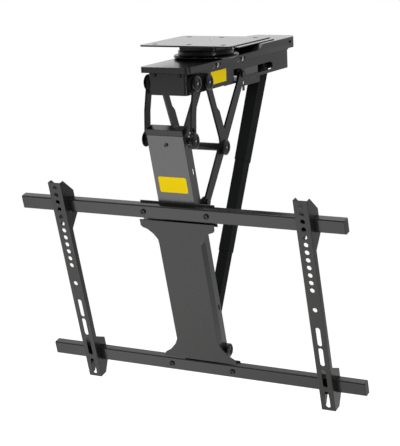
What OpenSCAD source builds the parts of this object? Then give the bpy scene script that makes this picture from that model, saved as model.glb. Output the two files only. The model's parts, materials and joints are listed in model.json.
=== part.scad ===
// Motorised flip-down ceiling mount for a television.
// Millimetres. +Z up, X to the right seen from the screen side, +Y to the rear.
// The origin is the centre of the ceiling plate's top face, on the swivel axis.

/* [Ceiling plate] */
// Ceiling plate width
plate_w = 196; // [160:1:240]
// Ceiling plate depth
plate_d = 174; // [150:1:210]
// Ceiling plate thickness
plate_t = 3; // [2:0.5:4]
// Corner radius of the ceiling plate
plate_r = 9; // [4:1:16]
// Ceiling bolt pitch across
bolt_pitch_x = 147; // [120:1:150]
// Ceiling bolt pitch front to back
bolt_pitch_y = 132; // [110:1:136]
// Ceiling bolt hole diameter
bolt_hole = 11; // [8:0.5:12]
// Radius of the ring of flush screws
screw_ring_r = 17.7; // [15:0.1:20]
// Flush screw head diameter
flush_head = 9; // [7:0.5:10]
// Flush screw head height
flush_head_h = 2; // [1:0.1:2]
// Flush screw shank diameter
flush_shank = 5; // [4:0.5:6]

/* [Swivel] */
// Neck block side
neck_w = 80; // [70:1:90]
// Underside of the neck block, below the ceiling
neck_drop = 16; // [14:0.5:18]
// Underside of the fixed disc
disc_drop = 24; // [22:0.5:26]
// Fixed disc radius
disc_r = 54; // [50:0.5:56]
// Turning dish radius
dish_r = 63; // [60:0.5:66]
// Rim chamfer of the dish
dish_edge = 3; // [1:0.5:4]
// Swivel pin radius
swivel_r = 8; // [6:0.5:9]
// Swivel nut radius over its corners
swivel_nut_r = 14; // [12:0.5:16]
// Swivel nut height
swivel_nut_h = 8; // [6:0.5:8]

/* [Housing] */
// Top of the lid, below the ceiling
lid_top = 31; // [29:0.5:33]
// Overhang of the lid past the box's side
lid_over = 11.6; // [10.6:0.1:13.6]
// Front edge of the lid
lid_front = -163.8; // [-168:0.1:-160]
// Rear edge of the lid
lid_rear = 304; // [298:1:308]
// Bottom edge of the lid's lip
lip_drop = 42; // [40:0.5:44]
// Corner radius at the lid's front
lid_r = 9; // [5:1:12]
// Length of the chamfer at the lid's rear corners
lid_cut_y = 22; // [15:1:24]
// Sheet thickness of lid and box
sheet = 2; // [1.5:0.1:2.2]
// Start of the slope up to the raised rear
rise_y0 = 119; // [115:1:124]
// End of the slope
rise_y1 = 143; // [138:1:148]
// Top of the raised rear
rise_top = 20; // [19:0.5:22]
// Front end of the cover strip over the slope
strip_y0 = 57; // [57:1:66]
// Rear end of the cover strip
strip_y1 = 214; // [200:1:225]
// Reach of the lid's cover strip past the box's side
strip_over = 0.6; // [-2.4:0.1:3]
// Half width of the box
box_half = 40.4; // [40:0.1:41]
// Corner radius of the box at the front
box_r = 6; // [4:0.5:7]
// Front face of the box
box_front = -152.8; // [-154:0.1:-151]
// Rear face of the box
box_rear = 275; // [270:1:280]
// Underside of the box
box_drop = 84; // [83:0.5:86]
// Top edge of the front plate
front_plate_top = 44; // [43:0.5:46]
// Rear end of the closed floor
floor_y1 = 95; // [90:1:100]
// Width of the floor flanges beside the rear opening
floor_flange = 12; // [8:1:14]
// Top edge of the rear wall
rear_wall_top = 47; // [46:0.5:50]
// Height of the middle of the side slot, below the ceiling
slot_z = 69.8; // [69:0.1:71]
// Side slot height
slot_h = 15.4; // [15:0.1:16]
// Front end of the side slot
slot_y0 = 44; // [42:1:46]
// Rear end of the side slot
slot_y1 = 205; // [203:1:210]
// Height of the access window at the slot's front end
window_h = 23; // [20:1:24]
// Length of the access window
window_l = 20; // [16:1:24]
// Front screw pitch
front_screw_x = 53; // [46:0.5:56]
// Front screw height below the ceiling
front_screw_z = 48; // [47.5:0.5:52]
// Small screw head diameter
small_head = 7; // [6:0.5:8]
// Small screw head height
small_head_h = 2.4; // [2:0.1:3]
// Front and rear positions of the lid bolts
lid_bolt_y = [-52, 49]; // each value within 2 of the one given
// Distance of the lid bolts from the lid's side edge
lid_bolt_in = 5; // [4.5:0.1:5.5]
// Hex nut radius of the lid bolts
lid_nut_r = 3.4; // [3.2:0.1:3.6]
// Hex nut height of the lid bolts
lid_nut_h = 7; // [6:0.5:7.5]
// Half the distance between the two bolts of a notch
lid_pair = 9; // [8.5:0.1:9.5]
// Length of the notch in the lip beside a lid bolt
lid_notch = 25; // [24:0.5:26]
// Small slotted hole in the raised side wall
lid_hole = [265, 29]; // each value within 2 of the one given
// Backing plate height
backing_w = 33; // [30:1:35]
// Side label front, rear, top and bottom
label_side = [-60, 2, 52, 76]; // each value within 1 of the one given
// Label thickness
label_t = 0.4; // [0.2:0.1:0.5]

/* [Drive] */
// Height of the lead screw axis below the ceiling
screw_z = 54; // [53:0.5:55]
// Lead screw radius
screw_r = 5; // [4:0.5:5]
// Thread groove depth
thread_depth = 0.8; // [0.5:0.1:1]
// Groove pitch
thread_pitch = 6; // [5:0.5:8]
// Front end of the lead screw
screw_y0 = -30; // [-32:1:-28]
// Rear end of the lead screw
screw_y1 = 194.4; // [150:0.1:195]
// Motor can radius
motor_r = 17; // [15:0.5:18]
// Motor can length
motor_l = 78; // [60:1:80]
// Gearbox length
gearbox_l = 26; // [20:1:28]
// Gearbox half width
gearbox_half = 20; // [18:0.5:22]
// Carriage half width
carriage_half = 14; // [12:0.5:16]
// Carriage half length
carriage_l = 8; // [7:0.5:8]
// Carriage top and bottom, below the ceiling
carriage_z = [43.5, 78]; // each value within 0.5 of the one given
// Screw bore radius in the carriage
carriage_bore = 8.6; // [8.4:0.1:9]
// Control box on the side wall: width, front, rear, top, bottom
control = [22.4, -26, 30, 43, 76]; // each value within 0.4 of the one given
// Power inlet: distance from the left side wall, width, top, bottom
inlet = [4.4, 22, 52, 72]; // each value within 0.4 of the one given
// Power inlet depth
inlet_t = 12; // [8:1:16]
// Inner rail strip: width, front, rear, top
rail_strip = [7.2, 66, 167, 79.5]; // each value within 0.3 of the one given
// Thickness of the shutters that ride on the carriage behind the side slots
shutter_t = 1.6; // [1.4:0.1:1.8]
// Half height of a shutter
shutter_half = 8.6; // [8.4:0.1:8.8]
// Reach of a shutter ahead of and behind the slide shaft
shutter_y = [9, 80]; // each value within 0.5 of the one given
// Bottom and top of the plate that carries the shutters, below the ceiling
shutter_z = [75.2, 62]; // each value within 0.3 of the one given

/* [Pivots] */
// Front link pivot on the housing: rearwards, below the ceiling
p1 = [-135, -63]; // each value within 0.5 of the one given
// Crank pivot on the housing
p2 = [-89, -66]; // each value within 0.5 of the one given
// Pivot between crank and long arm
pm = [-32, -199]; // each value within 0.5 of the one given
// Slide shaft
ps = [62, -70]; // each value within 0.5 of the one given
// Front link pivot on the column
pq = [-151, -167]; // each value within 0.5 of the one given
// Share of the upper part of the long arm that continues below its middle pivot
arm_share = 0.727; // [0.70:0.001:0.75]
// Strut foot pivot on the column
pr = [-40, -604]; // each value within 0.5 of the one given
// Strut top pin in the housing
pa = [236, -58]; // each value within 0.5 of the one given
// Pivot shaft radius
shaft_r = 5; // [4.5:0.1:5]
// Slide shaft radius
slide_r = 4; // [3.5:0.1:4]
// Running gap around a shaft in a turning part
run_gap = 0.3; // [0.25:0.01:0.35]
// Gap around a fixed shaft or screw in its own part
fit_gap = 0.1; // [0.05:0.01:0.15]
// Side gap between parts that move past each other
side_gap = 0.4; // [0.3:0.05:0.5]
// Pivot cap radius
cap_r = 15; // [14:0.5:15.5]
// Pivot cap height on the right
cap_h = 4.5; // [4:0.1:6]
// Pivot cap height on the left
far_cap_h = 3.2; // [3:0.1:4]
// Ring width of a pivot cap
cap_rim = 3.5; // [3:0.1:4]
// Step in from the side of a pivot cap to its face
cap_step = 2.5; // [2:0.1:3]
// Height of the sloping shoulder of a pivot cap
cap_shoulder = 1.6; // [1:0.1:2]
// Depth of the dished face of a pivot cap
cap_dish = 1.2; // [0.8:0.1:2]
// Screw head radius in a pivot cap
cap_screw_r = 5; // [4.5:0.1:5.4]
// Socket radius in a pivot cap screw
socket_r = 2.5; // [2:0.1:2.8]

/* [Links] */
// Gap between the box and the long arms
arm_gap = 1.2; // [1:0.1:1.6]
// Link plate thickness
link_t = 4; // [3.5:0.1:4.2]
// Gap between the long arms and the cranks
crank_gap = 1.4; // [1.2:0.1:1.8]
// Long arm width at its ends
arm_w = 20; // [18:0.5:21]
// Long arm half width at the cross shaft
arm_broad = 12; // [11:0.5:12.5]
// Crank and front link width
link_w = 17; // [15:0.5:18]
// Crank half width at its broad end
crank_broad = 14; // [12:0.5:14.5]
// Shares of the crank length where its broadening starts and ends
crank_share = [0.42, 0.50, 0.80]; // each value within 0.01 of the one given
// Forward bow of the front link
link_bow = 4; // [2:0.5:6]
// Cross tube radius
tube_r = 7.5; // [7:0.5:8]
// Share of the lower half of the front link below its stud
stud_share = 0.39; // [0.38:0.01:0.6]
// Link bolt head radius
link_bolt_r = 4; // [3:0.5:5]
// Link bolt head height
link_bolt_h = 3; // [2:0.5:4]
// Slide shaft head radius
slide_head_r = 7; // [6:0.5:7]
// Slide shaft head height
slide_head_h = 3; // [2:0.5:4]

/* [Column] */
// Tilt of the column from the vertical
col_tilt = 13.8; // [13.7:0.1:13.9]
// Rearward position of the top rail's upper front edge
col_y = -152.8; // [-153:0.1:-152.6]
// Height of that edge
col_z = -295.2; // [-295.4:0.1:-295]
// Difference between the half widths of box and column
col_gap = 1.4; // [1.2:0.1:1.9]
// Column sheet thickness
col_sheet = 2; // [1.8:0.1:2.2]
// Depth of the rails, and front face of the column web
rail_d = 15; // [15:0.1:15.4]
// Rear edge of the upper column's flanges
upper_d = 39; // [38:0.5:40]
// Height of the column above the rail
upper_h = 140; // [138:1:142]
// Height of the top flange
top_flange_h = 11; // [9:0.5:12]
// Joint between the upper and lower column, below the rail's top
split_z = 44; // [42:0.5:46]
// Half width of the wings behind the rails
wing_half = 80; // [76:1:84]
// Overhang of the wings past a rail
wing_over = 3; // [2:0.5:4]
// Overhang of the upper wings behind the cover plate
wing_low = 14; // [10:0.5:15]
// Lug radius around the foot shaft
lug_r = 11; // [10:0.5:12]
// Radius of the ear around the column's guide slot
ear_r = 13; // [12.5:0.5:14]
// Guide slot half height
guide_r = 7.5; // [7.4:0.1:7.8]
// Guide slot length between centres
guide_l = 8.8; // [8.6:0.1:9.4]
// Guide slot offset rearwards
guide_off = 1.9; // [1.7:0.1:2.1]
// Top of the lower column's flanges
lower_z0 = 60; // [58:1:62]
// Bottom of the lower column's flanges
lower_z1 = 336; // [334:1:337]
// Front edge of the lower column's flanges, and rear face of the cover plate
lower_f = 3; // [3:0.1:3.4]
// Rear edge of the lower column's flanges
lower_d = 46; // [45:0.5:47]
// Chamfer at the top of the lower flanges
lower_cut = 16; // [12:1:20]
// Cover plate front face
cover_f = 1; // [1:0.1:1.2]
// Cover plate outline: half width and distance below the rail's top
cover_pts = [[80, 31], [80, 43], [77, 47], [66, 51], [55, 60], [47, 71], [46, 80],
             [46, 292], [52, 304], [65, 318], [78, 326], [80, 332], [80, 335]]; // each value within 0.5 of the one given
// Depth of the lips folded back from the cover plate's straight sides
cover_lip = 16; // [12:0.5:18]
// Column label half width, bottom and top above the rail
label_col = [30, 24, 56]; // each value within 1 of the one given
// Label corner radius
label_r = 4; // [2:0.5:6]
// Column web screw height above the rail
web_screw_z = 121; // [115:1:125]
// Slotted holes in the column flanges, distances from the rail's top
flange_holes = [62, -232]; // each value within 1 of the one given
// Slotted hole: half width and length between centres
flange_slot = [2.5, 9]; // each value within 0.5 of the one given
// Hub cap radius
hub_r = 14; // [13:0.5:15]
// Hub cap height
hub_h = 11; // [9:0.5:12]

/* [Rails] */
// Half length of a rail without its end caps
rail_half = 346; // [340:1:350]
// Rail height
rail_h = 27.6; // [27:0.1:28]
// Distance between the tops of the rails
rail_gap = 338; // [338:0.5:339]
// Corner radius at the front of a rail
rail_r = 3; // [2:0.5:4]
// Rail tube wall
rail_wall = 2; // [1.5:0.1:2.5]
// End cap thickness
rail_cap = 2; // [1.5:0.1:3]
// Rail bolt position across
rail_bolt_x = 68; // [66:0.5:70]
// Rail bolt head radius
rail_bolt_r = 5.5; // [5:0.5:6]
// Rail bolt head height
rail_bolt_h = 3.5; // [3:0.5:4]

/* [Television arms] */
// Distance of the left arm from the rail's left end
arm_left_in = 96; // [20:1:244]
// Distance of the right arm from the rail's right end
arm_right_in = 72; // [20:1:244]
// Arm width
tv_w = 29; // [28:0.5:30]
// Arm sheet thickness
tv_sheet = 2; // [1.8:0.1:2.2]
// Front face of the arm, ahead of the rails
tv_f = 16; // [15:0.5:17]
// Height of the arm above the rail's top
tv_up = 42; // [40:1:44]
// Bottom of the arm below the rail's top
tv_down = 398; // [394:1:402]
// Rear edge of the hooks, behind the rails' front
hook_d = 22; // [20:0.5:29]
// Flange depth of the arm between its hooks
tv_flange = 11; // [9:0.5:12]
// Flange depth at the arm's lower end
tv_tail = 18; // [14:0.5:20]
// Gap between hook and rail
hook_gap = 0.5; // [0.4:0.05:0.6]
// Round hole radius
vesa_r = 4.7; // [4:0.1:5]
// Highest round hole above the rail's top
vesa_up = 31.5; // [30:0.5:33]
// Round hole pitch
vesa_pitch = 15.5; // [15:0.1:15.6]
// Number of round holes in the row
vesa_n = 12; // [8:1:12]
// Distance of the single lower hole below the rail's top
vesa_low = 180; // [178:1:184]
// Slots: upper and lower end below the rail's top
vesa_slots = [[217, 257], [261, 300], [308, 347], [356, 392]]; // each value within 0.5 of the one given
// Depth of the locking block
lock_d = 12; // [10:0.5:14]
// Height of the locking block
lock_h = 5; // [4:0.5:6]
// Distance from the rail's underside to the locking block
lock_drop = 3; // [2:0.5:4]
// Locking screw radius
lock_r = 4; // [3:0.5:4]
// Locking knob radius
knob_r = 7; // [6:0.5:7]
// Locking knob height
knob_h = 9; // [7:0.5:11]

/* [Strut] */
// Half width of the lowest section
strut_half = 10.5; // [10.2:0.1:10.8]
// Half depth of the lowest section
strut_deep = 10; // [9.8:0.1:10.1]
// Wall of the strut sections
strut_wall = 0.8; // [0.7:0.05:0.9]
// Side clearance between sections
strut_gap = 0.1; // [0.08:0.01:0.15]
// Depth clearance between sections
strut_gap_d = 0.1; // [0.08:0.01:0.15]
// Half depth at the top of the middle section
middle_top_deep = 12; // [11.9:0.1:12.2]
// Half depth at the top of the strut
strut_top_deep = 16.8; // [16:0.1:17.5]
// Ends of the lowest section, measured from the foot pivot
lower_t = [14, 222]; // each value within 1 of the one given
// Ends of the middle section
middle_t = [197, 412]; // each value within 1 of the one given
// Lower end of the top section
upper_t = 387; // [386:0.5:389]
// Overhang of the top section past its pin
upper_over = 12; // [10:0.5:13]
// Wall at the top end of the strut
upper_cap = 3; // [2:0.5:4]
// Plug length of the foot inside the lowest section
foot_plug = 10; // [8:0.5:12]
// Shift of the top pin along its guide: rearwards and upwards
guide_shift = [-9.7, -19.3]; // each value within 0.2 of the one given
// Half height of that guide slot
guide_a_r = 6.5; // [6.4:0.05:6.8]
// Inner face and thickness of the guide plates
guide_plate = [16, 3]; // each value within 0.3 of the one given
// Front, rear and bottom of the guide plates
guide_box = [211, 256, 81]; // each value within 0.5 of the one given
// Half length of the strut's top pin
strut_pin_x = 22; // [20:0.5:24]

/* [Cable bracket] */
// Half width of the bracket
cable_half = 20; // [18:0.5:22]
// Front and rear of the side plates
cable_y = [104, 186]; // each value within 0.5 of the one given
// Bottom of the side plates below the ceiling
cable_drop = 102; // [98:1:104]
// Rear end of the bracket's top plate
cable_top_y = 132; // [125:1:140]
// Hook: front, rear and bottom
cable_hook = [110, 118, 111]; // each value within 0.3 of the one given
// Slot in the side plates: front, rear, top, bottom
cable_slot = [112, 117, 88, 98]; // each value within 0.5 of the one given

/* [Hidden] */
$fn = 48;
over = 1;
black = "#2b2c2b";
dark = "#3c3c3a";
grey = "#626463";
light = "#a2a3a2";
zinc = "#c9cbcc";
yellow = "#f0d400";
deep_black = "#161716";
lid_half = box_half + lid_over;
strip_half = box_half + strip_over;
thread_turns = floor((screw_y1 - screw_y0) / thread_pitch);
col_half = box_half - col_gap;
arm_x = box_half + arm_gap;
arm_out = arm_x + link_t;
crank_x = arm_out + crank_gap;
crank_out = crank_x + link_t;
backing_t = crank_x - box_half - side_gap;
lid_bolt_x = lid_half - lid_bolt_in;
lid_pair_y = [for (y = lid_bolt_y, side = [-1, 1]) y + side * lid_pair];
shutter_x = box_half - sheet - side_gap;
inlet_x = inlet[0] + sheet - box_half;
arm_left_x = arm_left_in - rail_half;
arm_right_x = rail_half - arm_right_in;
pb = pm + (pm - ps) * arm_share;
crank_l = norm(pm - p2);
arm_l = norm(pb - ps);
cover_side = cover_pts[6];
arm_m = norm(pm - ps);
strut_l = norm(pa - pr);
strut_lean = atan2(pa[0] - pr[0], pa[1] - pr[1]);
rail_low = -rail_gap;
lid_in = lid_top + sheet;
middle_half = strut_half + strut_gap + strut_wall;
middle_deep = strut_deep + strut_gap_d + strut_wall;
upper_half = middle_half + strut_gap + strut_wall;
upper_deep = middle_top_deep + strut_gap_d + strut_wall;
cap_seat = crank_out + run_gap;

// Turns a position in the side plane into rearward and upward distances in the column's frame
function in_col(p) = [
    (p[0] - col_y) * cos(col_tilt) + (p[1] - col_z) * sin(col_tilt),
    (p[1] - col_z) * cos(col_tilt) - (p[0] - col_y) * sin(col_tilt)
];
cb = in_col(pb);
cq = in_col(pq);
cr = in_col(pr);

// Block between two corners
module block(x0, x1, y0, y1, z0, z1)
    translate([x0, y0, z0]) cube([x1 - x0, y1 - y0, z1 - z0]);

// Extrudes a side view, drawn as rearward and upward distances, from x0 to x1
module along_x(x0, x1)
    translate([x0, 0, 0]) rotate([90, 0, 90]) linear_extrude(x1 - x0) children();

// Shaft across the part at a side-view point
module rod(p, r, x0, x1)
    translate([x0, p[0], p[1]]) rotate([0, 90, 0]) cylinder(r = r, h = x1 - x0);

// Both sides of the part
module both() { children(); mirror([1, 0, 0]) children(); }

// Round-ended bar in the side view
module bar(p, q, w) {
    l = norm(q - p);
    translate(p) rotate(atan2(q[1] - p[1], q[0] - p[0])) {
        for (x = [0, l]) translate([x, 0]) circle(d = w);
        translate([0, -w / 2]) square([l, w]);
    }
}

// Rectangle with four round corners
module soft_rect(x0, x1, y0, y1, r) {
    translate([x0, y0 + r]) square([x1 - x0, y1 - y0 - 2 * r]);
    translate([x0 + r, y0]) square([x1 - x0 - 2 * r, y1 - y0]);
    for (x = [x0 + r, x1 - r], y = [y0 + r, y1 - r]) translate([x, y]) circle(r = r);
}

// Places a piece drawn in the column's frame
module col() translate([0, col_y, col_z]) rotate([col_tilt, 0, 0]) children();

// Places a piece drawn along the strut, up from its foot pivot
module strut_frame() translate([0, pr[0], pr[1]]) rotate([-strut_lean, 0, 0]) children();

module ceiling_plate() color(light) difference() {
    translate([0, 0, -plate_t]) linear_extrude(plate_t)
        soft_rect(-plate_w / 2, plate_w / 2, -plate_d / 2, plate_d / 2, plate_r);
    for (x = [-1, 0, 1], y = [-1, 1])
        translate([x * bolt_pitch_x / 2, y * bolt_pitch_y / 2, -plate_t - over])
            cylinder(d = bolt_hole, h = plate_t + 2 * over);
    for (a = [90, 210, 330]) rotate(a) translate([screw_ring_r, 0, 0]) {
        translate([0, 0, -flush_head_h]) cylinder(d = flush_head + 2 * fit_gap, h = flush_head_h + over);
        translate([0, 0, -plate_t - over]) cylinder(d = flush_shank + 2 * fit_gap, h = plate_t + over);
    }
}

module plate_screws() color(zinc) for (a = [90, 210, 330]) rotate(a) translate([screw_ring_r, 0, 0])
    difference() {
        union() {
            translate([0, 0, -flush_head_h]) cylinder(d = flush_head, h = flush_head_h - fit_gap);
            translate([0, 0, over - neck_drop]) cylinder(d = flush_shank, h = neck_drop - over - fit_gap);
        }
        translate([0, 0, -flush_head_h / 2]) cylinder(r = flush_shank / 2, h = flush_head_h, $fn = 6);
    }

module swivel_neck() color(dark) difference() {
    translate([0, 0, -neck_drop]) linear_extrude(neck_drop - plate_t)
        soft_rect(-neck_w / 2, neck_w / 2, -neck_w / 2, neck_w / 2, plate_r);
    translate([0, 0, -neck_drop - over]) cylinder(r = swivel_r + fit_gap, h = neck_drop);
    for (a = [90, 210, 330]) rotate(a) translate([screw_ring_r, 0, -neck_drop - over])
        cylinder(d = flush_shank + 2 * fit_gap, h = neck_drop);
}

module swivel_disc() color(black) translate([0, 0, -disc_drop]) difference() {
    cylinder(r = disc_r, h = disc_drop - neck_drop, $fn = 96);
    translate([0, 0, -over]) cylinder(r = swivel_r + fit_gap, h = disc_drop);
}

module swivel_pin() color(dark) {
    translate([0, 0, -lid_in - swivel_nut_h]) cylinder(r = swivel_r, h = lid_in + swivel_nut_h - plate_t);
    translate([0, 0, -lid_in - swivel_nut_h]) cylinder(r = swivel_nut_r, h = swivel_nut_h, $fn = 6);
}

module swivel_dish() color(black) rotate_extrude($fn = 96) polygon([
    [swivel_r + run_gap, -lid_top], [dish_r - dish_edge, -lid_top], [dish_r, dish_edge - lid_top],
    [dish_r, -disc_drop - dish_edge / 2], [dish_r - dish_edge, -disc_drop], [swivel_r + run_gap, -disc_drop]
]);

// Lid body in the side view and in plan; the inset is the sheet thickness for the hollow
module lid_side(t, base) polygon([
    [lid_front + t, base], [lid_front + t, -lid_top - t], [rise_y0 + t / 2, -lid_top - t],
    [rise_y1 + t / 2, -rise_top - t], [lid_rear - t, -rise_top - t], [lid_rear - t, base]
]);
module lid_plan(t) {
    polygon([
        [t - lid_half, lid_front + lid_r], [lid_half - t, lid_front + lid_r],
        [lid_half - t, lid_rear - lid_cut_y], [box_half - t / 2, lid_rear - t],
        [t / 2 - box_half, lid_rear - t], [t - lid_half, lid_rear - lid_cut_y]
    ]);
    translate([lid_r - lid_half, lid_front + t]) square([2 * (lid_half - lid_r), lid_r]);
    for (x = [-1, 1]) translate([x * (lid_half - lid_r), lid_front + lid_r]) circle(r = lid_r - t);
}
module lid_solid(t, base) intersection() {
    along_x(-lid_half, lid_half) lid_side(t, base);
    translate([0, 0, -2 * lip_drop]) linear_extrude(2 * lip_drop) lid_plan(t);
}

module lid() color(light) difference() {
    lid_solid(0, -lip_drop);
    lid_solid(sheet, -lip_drop - over);
    translate([0, 0, -lip_drop]) cylinder(r = swivel_r + run_gap, h = lip_drop);
    for (y = lid_bolt_y)
        block(-lid_half - over, lid_half + over, y - lid_notch / 2, y + lid_notch / 2,
              -lip_drop - over, -lid_in - sheet);
    for (x = [-lid_bolt_x, lid_bolt_x], y = lid_pair_y) translate([x, y, -lip_drop])
        cylinder(r = lid_nut_r / 2 + fit_gap, h = lip_drop);
    along_x(-lid_half - over, lid_half + over)
        bar([lid_hole[0] - flange_slot[0], -lid_hole[1]], [lid_hole[0] + flange_slot[0], -lid_hole[1]],
            2 * flange_slot[0]);
}

module lid_strip() color(light)
    block(-strip_half, strip_half, strip_y0, strip_y1, -rise_top, sheet - rise_top);

module lid_bolts() color(zinc) both() for (y = lid_pair_y) translate([lid_bolt_x, y, 0]) {
    translate([0, 0, -lid_in - sheet - lid_nut_h]) cylinder(r = lid_nut_r, h = lid_nut_h, $fn = 6);
    translate([0, 0, -lid_in - 2 * sheet - lid_nut_h])
        cylinder(r = lid_nut_r / 2, h = lid_nut_h + 2 * sheet + lid_in - lid_top - fit_gap);
}

// Plan of the box with its round front corners; the inset is the sheet thickness for the hollow
module box_plan(t) {
    translate([t - box_half, box_front + box_r])
        square([2 * (box_half - t), box_rear - box_front - box_r - t]);
    translate([box_r - box_half, box_front + t]) square([2 * (box_half - box_r), box_r]);
    for (x = [-1, 1]) translate([x * (box_half - box_r), box_front + box_r]) circle(r = box_r - t);
}
module box() color(dark) difference() {
    union() {
        difference() {
            translate([0, 0, -box_drop]) linear_extrude(box_drop - lid_in) difference() {
                box_plan(0);
                box_plan(sheet);
            }
            block(-box_half - over, box_half + over, box_front - over, box_front + box_r,
                  -front_plate_top, over - lid_in);
            block(sheet - box_half, box_half - sheet, box_rear - box_r, box_rear + over,
                  -rear_wall_top, over - lid_in);
        }
        translate([0, 0, -box_drop]) linear_extrude(sheet) intersection() {
            box_plan(0);
            translate([-box_half, box_front]) square([2 * box_half, floor_y1 - box_front]);
        }
        both() block(box_half - floor_flange, box_half, floor_y1 - over, box_rear,
                     -box_drop, sheet - box_drop);
        both() block(box_half - sheet, box_half, rise_y1 + sheet, lid_rear - lid_cut_y - sheet,
                     -rear_wall_top, -rise_top - sheet);
        both() for (y = lid_bolt_y)
            block(box_half - sheet, lid_half - sheet - side_gap, y - lid_notch / 2 + over,
                  y + lid_notch / 2 - over, -lid_in - sheet, -lid_in);
    }
    both() along_x(box_half - sheet - over, box_half + over) {
        bar([slot_y0, -slot_z], [slot_y1 - slot_h / 2, -slot_z], slot_h);
        translate([slot_y0 - window_l / 2, -slot_z - window_h / 2]) square([window_l, window_h]);
    }
    for (p = [p1, p2]) rod(p, shaft_r + fit_gap, -box_half - over, box_half + over);
    for (x = [-lid_bolt_x, lid_bolt_x], y = lid_pair_y) translate([x, y, -lip_drop])
        cylinder(r = lid_nut_r / 2 + fit_gap, h = lip_drop);
    for (x = [-1, 1]) translate([x * front_screw_x / 2, box_front - over, -front_screw_z]) rotate([-90, 0, 0])
        cylinder(r = small_head / 4 + fit_gap, h = sheet + 2 * over);
    block(inlet_x, inlet_x + inlet[1], box_rear - sheet - over, box_rear + over, -inlet[3], -inlet[2]);
}

// Round head with a cross recess, standing out towards the front from y = 0
module small_screw(shank) rotate([90, 0, 0]) difference() {
    union() {
        cylinder(d = small_head, h = small_head_h);
        translate([0, 0, -shank]) cylinder(r = small_head / 4, h = shank + small_head_h / 2);
    }
    for (a = [0, 90]) rotate(a)
        translate([-small_head / 4, -small_head / 12, small_head_h / 2])
            cube([small_head / 2, small_head / 6, small_head_h]);
}

module front_screws() color(light) for (x = [-1, 1])
    translate([x * front_screw_x / 2, box_front, -front_screw_z]) small_screw(2 * sheet);

module pivot_plates() color(deep_black) both() difference() {
    along_x(box_half, box_half + backing_t) bar(p1, p2, backing_w);
    for (p = [p1, p2]) rod(p, shaft_r + fit_gap, box_half - over, box_half + backing_t + over);
}

// Cap ring with a socket screw, from x0 outwards
module cap(p, x0, r, h) difference() {
    union() {
        rod(p, r, x0, x0 + h - cap_shoulder);
        translate([x0 + h - cap_shoulder, p[0], p[1]]) rotate([0, 90, 0])
            cylinder(r1 = r, r2 = r - cap_step, h = cap_shoulder);
    }
    difference() {
        rod(p, r - cap_step - cap_rim, x0 + h - cap_dish, x0 + h + over);
        rod(p, cap_screw_r, x0 + h - 2 * cap_dish, x0 + h + 2 * over);
    }
    translate([x0 + h - 2 * cap_dish, p[0], p[1]]) rotate([0, 90, 0])
        cylinder(r = socket_r, h = 2 * cap_dish + over, $fn = 6);
}

module pivot_caps() color(black) for (side = [0, 1], p = [p1, p2]) mirror([side, 0, 0]) {
    cap(p, cap_seat, cap_r, (side == 0 ? cap_h : far_cap_h) - run_gap);
    rod(p, shaft_r, box_half - 2 * sheet, cap_seat + over);
    rod(p, shaft_r + sheet, box_half - 3 * sheet, box_half - sheet);
}

module side_label() color(yellow) along_x(box_half, box_half + label_t) difference() {
    translate([label_side[0], -label_side[3]])
        square([label_side[1] - label_side[0], label_side[3] - label_side[2]]);
    translate(p2) circle(r = backing_w);
}

module slide_rails() color(light) both() translate([shutter_x - shutter_t - side_gap, 0, 0])
    block(-rail_strip[0], 0, rail_strip[1], rail_strip[2], sheet - box_drop, -rail_strip[3]);

module gearmotor() color(deep_black) {
    gear_y = screw_y0 - link_t;
    difference() {
        union() {
            translate([0, gear_y - gearbox_l - motor_l, -screw_z]) rotate([-90, 0, 0])
                cylinder(r = motor_r, h = motor_l);
            block(-gearbox_half, gearbox_half, gear_y - gearbox_l, gear_y, sheet - box_drop, -lid_in);
        }
        translate([0, gear_y - link_t, -screw_z]) rotate([-90, 0, 0])
            cylinder(r = screw_r + run_gap, h = 2 * link_t);
    }
}

module lead_screw() color(zinc)
    translate([0, 0, -screw_z]) rotate([-90, 0, 0]) rotate_extrude() polygon(concat(
    [[0, screw_y0 - link_t - link_t / 2], [screw_r, screw_y0 - link_t - link_t / 2]],
    [for (i = [0 : thread_turns - 1], k = [0 : 3])
        [screw_r - (k % 3 == 0 ? 0 : thread_depth), screw_y0 + (i + 0.2 + k * 0.2) * thread_pitch]],
    [[screw_r, screw_y1], [0, screw_y1]]
));

module carriage() color(grey) difference() {
    union() {
        block(-carriage_half, carriage_half, ps[0] - carriage_l, ps[0] + carriage_l,
              -carriage_z[1], -carriage_z[0]);
        block(-shutter_x, shutter_x, ps[0] + carriage_l - shutter_t, ps[0] + carriage_l,
              -shutter_z[0], -shutter_z[1]);
        both() block(shutter_x - shutter_t, shutter_x, ps[0] - shutter_y[0], ps[0] + shutter_y[1],
                     -slot_z - shutter_half, shutter_half - slot_z);
    }
    translate([0, ps[0] - carriage_l - over, -screw_z]) rotate([-90, 0, 0])
        cylinder(r = carriage_bore, h = 2 * (carriage_l + over));
    rod(ps, slide_r + run_gap, -shutter_x - over, shutter_x + over);
}

module control_box() color(deep_black)
    block(box_half - sheet - control[0], box_half - sheet, control[1], control[2], -control[4], -control[3]);

module power_inlet() color(deep_black) translate([inlet_x, 0, 0]) difference() {
    union() {
        block(fit_gap, inlet[1] - fit_gap, box_rear - inlet_t, box_rear + sheet,
              fit_gap - inlet[3], -inlet[2] - fit_gap);
        block(-sheet, inlet[1] + sheet, box_rear, box_rear + sheet, -inlet[3] - sheet, sheet - inlet[2]);
    }
    block(sheet, inlet[1] - sheet, box_rear - inlet_t / 2, box_rear + 2 * sheet,
          sheet - inlet[3], -inlet[2] - sheet);
}

module strut_guides() color(grey) both() difference() {
    block(guide_plate[0], guide_plate[0] + guide_plate[1], guide_box[0], guide_box[1],
          -guide_box[2], -rise_top - sheet);
    along_x(guide_plate[0] - over, guide_plate[0] + guide_plate[1] + over)
        bar(pa, pa + guide_shift, 2 * guide_a_r);
}

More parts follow.
